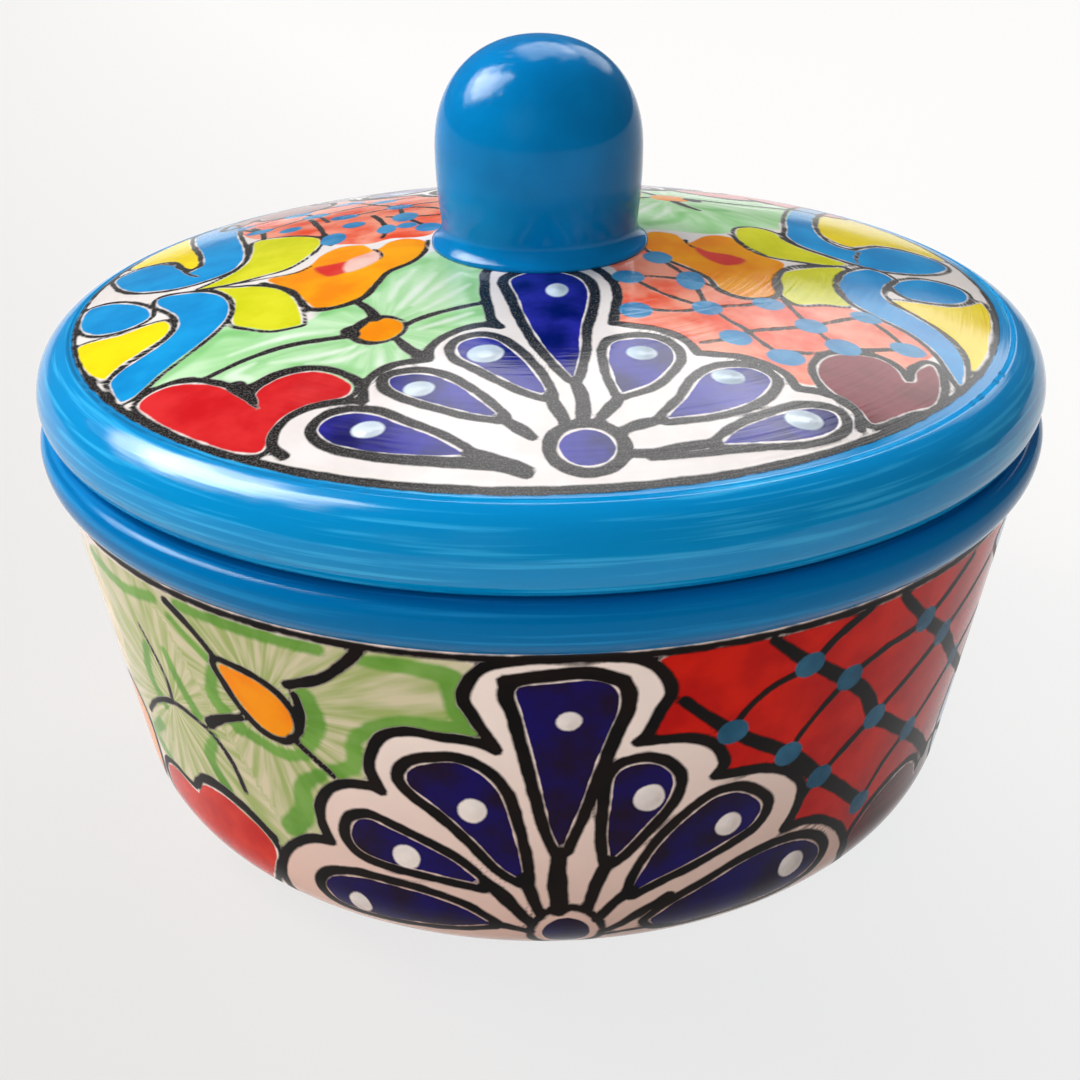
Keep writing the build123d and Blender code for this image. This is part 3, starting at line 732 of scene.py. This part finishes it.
lidBand = {
    "lattice": [
        [(-26.5, 6), (-30, 4.5), (-36, 5.5), (-41, 3), (-47, 5), (-53, 8), (-55.5, 15), (-60, 19.5), (-67, 23.5),
         (-72, 26), (-77, 35), (-80.5, 48), (-60, 44), (-36, 36), (-27, 20)],
    ],
    "green": [
        [(24, 6), (27, 9), (31, 9), (37, 8.5), (43, 9.5), (47.5, 13), (49.5, 19), (55, 22), (60, 22), (61.5, 30),
         (63, 42), (45, 42), (30, 24), (25, 14)],
    ],
    "lime": [
        [(-76.2, -12.9), (-72, -15), (-67, -16.7), (-61.2, -20.8), (-57, -26.7), (-54.5, -33.3), (-52.8, -40),
         (-52.4, -43.8, 0), (-58.7, -44.2), (-64.5, -40.8), (-68.3, -37.5), (-69.1, -30), (-70.3, -23.3),
         (-73.7, -16.7)],
        [(-71.5, 23), (-71, 12), (-71, 3), (-73, -3), (-77, -8), (-81, -11, 0), (-73, -11.3), (-66, -10), (-60.5, -8),
         (-57, -3), (-55, 3), (-54, 9), (-55, 14), (-59, 18.5), (-65, 22)],
        [(55.5, -17.5), (60, -12.3), (66.7, -7.6), (73, -4.4, 0), (70, -12), (68.3, -19.2), (69.2, -26.7), (70, -30),
         (63.3, -31.7), (57.5, -33.8), (55, -30), (54.4, -23.3)],
        [(48.5, 12), (50, 18), (54.5, 20.5), (58.5, 18), (60, 12), (63, 7), (68, 3), (74.5, -1, 0), (70, -4),
         (62, -5), (55, -4.5), (51, -1), (49, 5)],
    ],
    "yellow": [
        [(-105.3, -29.5), (-101.2, -28.9), (-95.3, -29.3), (-89.9, -27.5), (-86.2, -27.4), (-83.9, -31.7),
         (-84.7, -36.7), (-88.7, -41.9), (-92.8, -46.9), (-94.9, -51.7, 0), (-99.5, -45.8), (-103.3, -38.3)],
        [(80.8, -22.5), (87.5, -20), (95.8, -17.5), (101.7, -12.5), (105.4, -7.5, 0), (105.8, -13.3), (104.2, -23.3),
         (101.7, -31.7), (99.2, -40.8), (95, -50), (93.3, -52.5, 0), (93.3, -43.3), (90.8, -35), (85.8, -27.5)],
        [(-84.5, 9), (-86.5, 9), (-91, 17), (-95, 22), (-100, 25.5), (-105, 27), (-104, 33), (-102, 40), (-98, 49),
         (-95, 55, 0), (-94, 48), (-91, 36), (-87.5, 25), (-85.5, 16)],
        [(72, 26), (74, 20), (77.5, 17), (81, 20), (86, 25.5), (93, 28), (99, 27), (103.5, 26), (103, 31), (100, 41),
         (93.5, 53), (86, 65), (82, 72, 0), (79, 66), (75, 52), (72.5, 38)],
    ],
    "orange": [
        [(-63.7, -13.3), (-58.7, -12.5), (-54.5, -8.3), (-52.8, -2.5), (-48.7, 2.7), (-43, 2.4), (-39.5, -3.2),
         (-36.6, 2.2), (-32.8, 4.2), (-27.8, 0.8), (-27.4, -7.5), (-30.3, -14.2), (-35.3, -19.2), (-37.8, -26.7),
         (-40.3, -33.3), (-45.3, -36.3), (-50.3, -35.8), (-52.8, -31.7), (-56.2, -24.2), (-61.2, -18.3)],
        [(24.2, -0.8), (25.8, 5), (29, 7.3), (33, 5.6), (35.4, -0.6), (38, 3), (41.5, 7.4), (46, 8), (48.3, 4.6),
         (50, 0), (53.3, -4.6), (57.5, -8.6), (55.8, -15.8), (54.2, -20), (53.8, -26.7), (51.7, -31.7), (45, -33.3),
         (40.8, -30), (39.2, -25), (35, -19.2), (29.2, -13.3), (25, -6.7)],
    ],
    "slit": [
        [(-53, -10.5), (-49, -9.8), (-45.4, -9), (-44.6, -12), (-44.8, -16.5), (-48.7, -18), (-51.5, -15)],
        [(37.2, -3.5), (40, -6), (44, -6.8), (48.5, -9.4), (47, -13), (43, -15), (39.5, -12), (37.6, -8)],
    ],
    "blush": [[(-45.6, -9), (-42, -5.5), (-39.4, -3.5), (-37.4, -6.5), (-38.6, -11.5), (-41.5, -15), (-45, -17)]],
    "scroll": [
        [(-89.9, -10.8), (-82.8, -12.1), (-77.8, -15), (-73.7, -20), (-71.2, -26.7), (-70.8, -33.3), (-72.8, -40),
         (-77, -47.5), (-82, -55), (-86.2, -62.5), (-88.7, -64, 0), (-91.6, -57.5), (-92.8, -53.3), (-91.2, -49.2),
         (-86.2, -43.3), (-82.8, -38.3), (-81.6, -33.3), (-82.8, -26.7), (-86.2, -20.8), (-89.9, -15)],
        [(-108.5, -4), (-103.7, -4.6), (-96.2, -10.8), (-91.2, -18.3), (-90.8, -23.3), (-95.3, -26.3),
         (-101.2, -25.4), (-106, -20.8), (-108.6, -13.3)],
        [(80, -1.7), (75, -5.8), (70.8, -12.5), (69.2, -20), (70.8, -27.5), (75.8, -33.3), (82.5, -39.2),
         (86.7, -46.7), (88.3, -55), (89.2, -60.8, 0), (91.7, -51.7), (92.5, -43.3), (90, -35.8), (85, -29.2),
         (80.8, -24.2), (79.2, -19.2), (80.8, -12.5), (84.2, -5.8)],
        [(83.3, -11.7), (88.3, -4.2), (95, 0), (101.7, -0.8), (102.5, -5.8), (99.2, -12.5), (92.5, -16.7),
         (85.8, -17.5)],
        [(-75.5, 22), (-73.5, 12), (-73, 5), (-74.5, -1), (-79, -4.5), (-85, -6), (-91, -4.5), (-97, -1), (-102, 5),
         (-105.5, 12.5), (-107, 19), (-103.5, 23), (-98, 23.5), (-93, 19), (-89.5, 11), (-86, 5.5), (-83.5, 9),
         (-84, 16), (-86, 24), (-89, 34), (-91.5, 45), (-92.5, 56), (-88, 62), (-84, 60), (-81.5, 50), (-78.5, 34)],
        [(63, 24), (62, 16), (64.5, 9), (70, 4.5), (76, 1), (82, -0.5), (89, 1.8), (95, 6), (100, 12), (102.5, 19),
         (100, 24), (94, 25.5), (87, 23.5), (82, 18), (78.5, 13.5), (75, 13.5), (72, 17), (70.5, 24), (71, 36),
         (73.5, 50), (77, 64), (79, 72), (75, 74), (70.5, 64), (66.5, 48), (64, 34)],
    ],
}
# the flowers' outlines, heavy below and thin above, where the scrolls curl, behind the left flower,
# and round the leaf's orange eye
bandLines = [
    ([(-27, 1), (-27.2, -7.5), (-30, -14.6), (-34.8, -19.6), (-37.2, -26.7), (-39.6, -33.6), (-45.3, -37.2),
      (-50.8, -36.6), (-53.6, -31.7), (-57, -24.2), (-62, -18.3), (-65, -15.4)], (1.2, 2.2, 1.2)),
    ([(-81, -11.3), (-72, -12.3), (-64, -12.6), (-57, -12), (-54, -9)], (1.0, 0.8)),
    ([(23.6, 0), (24.4, -6.7), (28.6, -13.7), (34.4, -19.6), (38.5, -25), (40.2, -30.8), (45, -34.2), (52.2, -32.4),
      (54.6, -26.7), (55, -20), (56.8, -14), (60, -9.6), (66, -6.2), (73, -3.2)], (1.2, 1.8, 1.0)),
    ([(46.6, 11), (48.4, 6), (50.4, 0.6), (54, -4)], (1.0, 0.7)), ([(35.2, 1.5), (35.4, -1), (36.6, -4)], (1.2, 0.6)),
    ([(-54.8, 16), (-53.4, 8), (-54.6, 0.6), (-57.4, -5)], (0.9, 0.7)),
    ([(-39.6, -2.4), (-37.8, -6), (-37.4, -10)], (1.0, 0.7)),
    ([(-91, 15), (-88, 9), (-85.5, 3.5), (-83, 0)], (1.2, 0.8)), ([(79, 12), (77.5, 6), (77, 2)], (1.2, 0.8)),
    ([(-38.5, 7), (-38, 14), (-40, 24), (-43, 33)], 1.5), ([(-51, 6), (-53.5, 16), (-56, 26), (-60, 40)], 1.5),
    ([(-70, 24), (-72, 34), (-76, 44)], 1.5),
    ([(-40.2, -49.4), (-37.5, -45.4), (-33.5, -44.9), (-29.6, -48), (-29.2, -52.5), (-32.5, -56.2), (-36.8, -56.2),
      (-40.4, -52.6), (-40.6, -49.8)], (3.2, 1.0, 1.2, 3.0)),
]
bandDots = [
    (-51, 11.5, 3.2, 5.5), (-38, 15, 2.4, 4.5), (-64, 30, 3, 3), (-47, 24, 3, 3.4), (-33, 17, 2.6, 3),
]
lidPens = {"red": (0.3, 1.6), "maroon": (0.3, 1.9), "scroll": (0.3, 1.3), "yellow": (0.3, 0.9), "lime": (0.2, 1.1)}

latticeStrokes = [(points, lid["latticePen"]) for points in lidLatticeLines]
lidField.paint(lidHearts | {"green": [lidLeaves], "lattice": [lidLattice]},
               {"leafEdge": lidLeafEdges, "leafPale": lidLeafStreaks, "ink": lidVeins + latticeStrokes},
               lidLatticeDots, lidPens)
bandField.paint(lidBand, {"ink": bandLines}, bandDots, lidPens)
for colour, gap in bandField.colours.items():
    lidField.lay(colour, gap)
lidField.paintFan(lidFan)
frontness = np.clip(np.cos(lidPoints[:, 3]), 0, 1) ** 2
ringAt = lid["ringAt"] - lid["ringShift"] * np.sin(lidPoints[:, 3])  # drawn a little off centre
ringWidth = lid["ringWidth"] * (lid["ringLeast"] + (1 - lid["ringLeast"]) * frontness)  # heavier at the front
for gap in lidField.colours.values():
    np.maximum(gap, lidOut - ringAt, out=gap)  # nothing is painted past the ring
lidField.lay("ink", np.abs(lidOut - ringAt) - ringWidth / 2)

blueOnTop = ringAt + ringWidth / 2 - lid["blueUnderRing"] - lidOut
blueBelow = np.maximum(-noPaint, alongAt(lidRows, lipRound[0]) - alongLid)
keepPaint(lidPiece, lidField, onDome, {"blue": np.where(onDome, blueOnTop, blueBelow)},
          leafRays(lidField, lid["flowers"], lid["raySpread"], lid["rayLength"]))

# Knob

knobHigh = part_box("knob")[1]
knob = {"flare": knobHigh.x / mm, "flareEdge": 0.8, "neck": 23.5, "neckHeight": 5.0, "widest": 24.6,
        "widestHeight": 22.0, "top": knobHigh.z / mm, "fullness": 2.22,  # 2 is an oval, more is squarer
        "around": 180, "step": 0.9, "stepFoot": 3.0, "capSteps": 45}
knobNeck = (knob["neck"], lid["crown"] + knob["neckHeight"])
knobWidest = (knob["widest"], lid["crown"] + knob["widestHeight"])
flareFoot = (knob["flare"], domeCentre + math.sqrt(dome ** 2 - knob["flare"] ** 2))
flareTop = (knob["flare"], flareFoot[1] + knob["flareEdge"])
knobSide = tangentArcRows(knobWidest, (0, -1), knobNeck, knob["step"])
neckRun = (knobSide[-1][0] - knobSide[-2][0], knobSide[-1][1] - knobSide[-2][1])
neckLength = math.hypot(*neckRun)
knobFlare = tangentArcRows(knobNeck, (neckRun[0] / neckLength, neckRun[1] / neckLength), flareTop, knob["step"])
capHeight = knob["top"] - knobWidest[1]
capTurn = np.linspace(0, math.pi / 2, knob["capSteps"])[:-1]
capOut = knob["widest"] * np.cos(capTurn) ** (2 / knob["fullness"])
capUp = knobWidest[1] + capHeight * np.sin(capTurn) ** (2 / knob["fullness"])
capRows = list(zip(capOut.tolist(), capUp.tolist())) + [(0, knob["top"])]
knobFoot = arcRows(domeMiddle, dome, 90, domeAngle(dome, knob["flare"]), knob["stepFoot"])
knobRows = sectionRows([(knobFoot + [flareTop] + knobFlare[::-1] + knobSide[::-1] + capRows, knob["around"])])
knobPiece, knobPoints = turnedPiece("glazed_knob", knobRows)
keepOnMesh(knobPiece, "blue", np.full(len(knobPoints), -noPaint))

# Locating ring under the lid

ringLow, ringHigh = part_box("lid_locating_ring")
ring = {"outer": ringHigh.x / mm, "wall": 6.0, "foot": ringLow.z / mm, "edge": 2.4,
        "around": 360, "step": 1.6, "stepEdge": 0.8}
ringInner = ring["outer"] - ring["wall"]
ringTop = arcRows(domeMiddle, under, domeAngle(under, ring["outer"]), domeAngle(under, ringInner), ring["step"])
edgeHeight = ring["foot"] + ring["edge"]
ringRows = sectionRows([(
    ringTop + lineRows(ringTop[-1], (ringInner, edgeHeight), ring["step"])
    + arcRows((ringInner + ring["edge"], edgeHeight), ring["edge"], 180, 270, ring["stepEdge"])
    + arcRows((ring["outer"] - ring["edge"], edgeHeight), ring["edge"], 270, 360, ring["stepEdge"])
    + lineRows((ring["outer"], edgeHeight), ringTop[0], ring["step"])[:-1], ring["around"])])
ringPiece, ringPoints = turnedPiece("lid_ring", ringRows, closed=True)

# Finishes: paints from the first laid to the last, as colour, deep, pale and what isn't plain about it

leaf = {"soft": 0.5, "tone": "rays", "bareEdge": True}
bareEdged = {"bareEdge": True}
# the blue is paler in streaks along the wheel's ridges: thinner glaze there, and partly a painted highlight
roll = {"soft": 0.35, "tone": "ridge"}
lidLayers = [
    ("green", "#A2DC98", "#CCEFC4", leaf),
    ("leafEdge", "#6CC064", "#84CE7A", {"soft": 1.4, "strength": 0.6, "bareEdge": True}),
    ("leafPale", "#F4FAF0", "#E0F3DA", {"soft": 1.0, "strength": 0.85}),
    ("lattice", "#EE4A20", "#FBA286", {"soft": 0.4}),
    ("lime", "#D3D400", "#E4E226", {}),
    ("yellow", "#FADA00", "#FFE600", {}),
    ("orange", "#F88C00", "#FFA800", {}),
    ("slit", "#D92A22", "#E2463C", {"soft": 0.7}),
    ("blush", "#F0A596", "#F7CCBF", {"soft": 0.7}),
    ("red", "#CE121A", "#E22E30", bareEdged),
    ("maroon", "#6E0F1C", "#8C2A38", bareEdged),
    ("scroll", "#008CD2", "#0E9FE2", bareEdged),
    ("fan", "#F5EFED", "#EEE5E2", {}),
    ("cobalt", "#040160", "#2A26A4", {"soft": 0.22}),
    ("spark", "#E2EEF8", "#D4E6F4", {"soft": 0.35, "tremble": 0.5}),
    # the lid's roll has the same blue glaze as the bowl's rim, painted lighter here: painted light
    ("blue", "#0092D6", "#30B2EE", roll),
    # the lid's ink is painted grey with pale specks: a painted sheen on the dark ink
    ("ink", "#181514", "#504C4A", {"tone": "grain"}),
    ("berry", "#1F78B0", "#4A9ACA", {}),
]
bowlLayers = [
    ("green", "#A2B872", "#D6D4B6", leaf),
    ("leafEdge", "#5A9A30", "#72AE46", {"soft": 0.7, "strength": 0.92, "ragged": 0.6, "bareEdge": True}),
    ("lattice", "#B80800", "#D41A02", {"soft": 0.4}),
    ("lime", "#DCCB86", "#F1E8C8", {"soft": 1.5, "tone": "rays"}),
    ("yellow", "#F6D400", "#FFE700", {}),
    ("orange", "#FA8C00", "#FFA000", {}),
    ("red", "#C41C10", "#DA3826", bareEdged),
    ("maroon", "#480A04", "#66120A", {}),
    ("scroll", "#0A84CA", "#2C9AD6", bareEdged),
    # the fan's pale is painted shade, darker and warmer low on the wall
    ("fan", "#F8F0EC", "#DCBBAE", {"tone": "low"}),
    ("cobalt", "#12045E", "#1A0628", {"soft": 0.22}),
    ("spark", "#F4F2F0", "#DDDEE0", {"tremble": 0.6}),
    ("ink", "#040201", "#140A06", {"soft": 0.36}),
    ("berry", "#1E5474", "#346F92", {}),
    # the rim has the same blue glaze as the lid's roll, painted darker here: painted shade under the lid's overhang
    ("blue", "#0074B6", "#188ED0", roll),
    ("clay", "#E2B8A4", "#F0CFBF", {"soft": 2.0}),
]
knobLayers = [("blue", "#007CC0", "#0084CA", {"soft": 0.35})]
lidLook = {"radius": lid["radius"], "gloss": 0.28, "inkRoughness": 0.2,
           "streakHeight": 0.065, "streakWidth": 1.2, "streakLength": 45.0}
knobLook = {"radius": knob["widest"], "gloss": 0.15, "streakHeight": 0.004, "streakLength": 30.0}
bowlLook = {"radius": bowl["rim"], "gloss": 0.07}
bowlGlaze = tinGlaze("tin_glaze_bowl", glaze | bowlLook, bowlLayers)  # soft gloss over deep colours
lidGlaze = tinGlaze("tin_glaze_lid", glaze | lidLook, lidLayers)  # wetter gloss, broken by streaks on the roll
knobGlaze = tinGlaze("blue_glaze_knob", glaze | knobLook, knobLayers)  # one smooth blue
ringGlaze = tinGlaze("white_glaze_ring", glaze | {"radius": ring["outer"]}, [])  # plain white
for piece, finish, body, node, slot in (
        (bowlPiece, bowlGlaze, "bowl", "bowl", "bowl_glaze"),
        (lidPiece, lidGlaze, "lid", "lid", "lid_glaze"),
        (knobPiece, knobGlaze, "lid", "knob", "knob_glaze"),
        (ringPiece, ringGlaze, "lid", "lid_locating_ring", "ring_glaze")):
    piece.data.materials.append(finish)
    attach(piece, body)
    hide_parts(node)
print("finishes on")

# Studio: a pale floor, window light from the left, and the camera where the photograph was taken from

studio = {
    "floor": "#F2DACA", "floorSize": 40.0, "room": 0.12,
    "glow": (0.98, 0.995, 1, 1), "glowShare": 0.89,  # of what the eye sees of the floor
    "glowWay": (1, 0.5, 0), "glowFrom": -0.35, "glowTo": 0.3, "glowRange": (0.75, 1.0),  # paler to the right and back
    "cloth": 4.0, "clothShare": 0.8, "lampEdge": (0.88, 0.58), "lampPeak": 2.2,  # uneven cloth, dim at its edges
    "lamps": [  # place, size, watts, and whether they light the matt colours, the glaze's mirror or both
        ("window", (-1.2, 0.35, 1.15), 1.3, 26.5, "both"), ("front", (-0.9, -2.2, 1.35), 2.4, 34.0, "matt"),
        ("behind", (0.1, 1.0, 1.45), 1.4, 12.5, "both"), ("far", (0.75, 1.4, 1.1), 1.3, 7.0, "both"),
        ("sky", (-1.05, 0.16, 1.3), 1.4, 50.0, "mirror")],
}
view = {"target": (0, 0, 0.1), "distance": 0.4479, "elevation": 21.48, "roll": -0.53, "lens": 60.25, "sensor": 36.0,
        "shiftX": -0.001, "shiftY": -0.1474}

floorMesh = bpy.data.meshes.new("floor")
half = studio["floorSize"] / 2
floorMesh.from_pydata([(-half, -half, 0), (half, -half, 0), (half, half, 0), (-half, half, 0)], [], [(0, 1, 2, 3)])
floor = bpy.data.objects.new("floor", floorMesh)
scene.collection.objects.link(floor)
paper = bpy.data.materials.new("lit_paper")  # matt paper lit from below: pale to the eye, and keeps a faint shadow
paper.use_nodes = True
paper.node_tree.nodes.clear()
sheet = partial(addNode, paper.node_tree)
seen, mirrored, passed = (sheet("LightPath", out=ray)
                          for ray in ("Is Camera Ray", "Is Glossy Ray", "Is Transmission Ray"))
looked = sheet("Math", {0: mirrored, 1: passed}, operation="MAXIMUM")
looked = sheet("Math", {0: seen, 1: looked}, operation="MAXIMUM")
share = sheet("Math", {0: looked, 1: studio["glowShare"]}, operation="MULTIPLY")
matt = sheet("BsdfDiffuse", {"Color": linear(studio["floor"])})
onFloor = sheet("TexCoord", out="Object")
away = sheet("VectorMath", {0: onFloor, 1: studio["glowWay"]}, out="Value", operation="DOT_PRODUCT")
dim, bright = studio["glowRange"]
shown = sheet("MapRange", {0: away, 1: studio["glowFrom"], 2: studio["glowTo"], 3: dim, 4: bright})
glow = sheet("Emission", {"Color": studio["glow"], "Strength": shown})
sheet("OutputMaterial", {"Surface": sheet("MixShader", {0: share, 1: matt, 2: glow})}, out=None)
floorMesh.materials.append(paper)

scene.world = bpy.data.worlds.new("studio")
scene.world.use_nodes = True
backdrop = scene.world.node_tree.nodes["Background"].inputs
backdrop["Color"].default_value = (1, 1, 1, 1)
backdrop["Strength"].default_value = studio["room"]

aim = Vector(view["target"])
for name, spot, size, power, use in studio["lamps"]:
    lamp = bpy.data.lights.new(name, "AREA")
    lamp.size = size
    lamp.energy = power
    lamp.use_nodes = True
    lamp.node_tree.nodes.clear()
    add = partial(addNode, lamp.node_tree)
    onLamp = add("NewGeometry", out="Parametric")
    fromMiddle = add("VectorMath", {0: onLamp, 1: (0.5, 0.5, 0)}, operation="SUBTRACT")
    reach = add("VectorMath", {0: fromMiddle}, out="Value", operation="LENGTH")
    cloth = add("TexNoise", {"Vector": onLamp, "Scale": studio["cloth"], "Detail": 4.0})
    fade = add("Math", {0: cloth, 1: studio["clothShare"], 2: reach}, operation="MULTIPLY_ADD")
    dark, full = studio["lampEdge"]
    shine = add("MapRange", {0: fade, 1: dark, 2: full, 4: studio["lampPeak"]}, interpolation_type="SMOOTHSTEP")
    add("OutputLight", {"Surface": add("Emission", {"Strength": shine})}, out=None)
    holder = bpy.data.objects.new(name, lamp)
    holder.visible_glossy = use != "matt"
    holder.visible_diffuse = use != "mirror"
    holder.location = spot
    holder.rotation_euler = (aim - Vector(spot)).to_track_quat("-Z", "Y").to_euler()
    scene.collection.objects.link(holder)

lens = bpy.data.cameras.new("camera")
lens.sensor_width = view["sensor"]
lens.lens = view["lens"]
lens.shift_x = view["shiftX"]
lens.shift_y = view["shiftY"]
camera = bpy.data.objects.new("camera", lens)
tilt = math.radians(view["elevation"])
camera.location = aim + view["distance"] * Vector((0, -math.cos(tilt), math.sin(tilt)))
facing = (aim - camera.location).to_track_quat("-Z", "Y").to_matrix().to_4x4()
camera.rotation_euler = (facing @ Matrix.Rotation(math.radians(view["roll"]), 4, "Z")).to_euler()
scene.collection.objects.link(camera)
scene.camera = camera
scene.view_settings.view_transform = "Standard"
print("studio set")
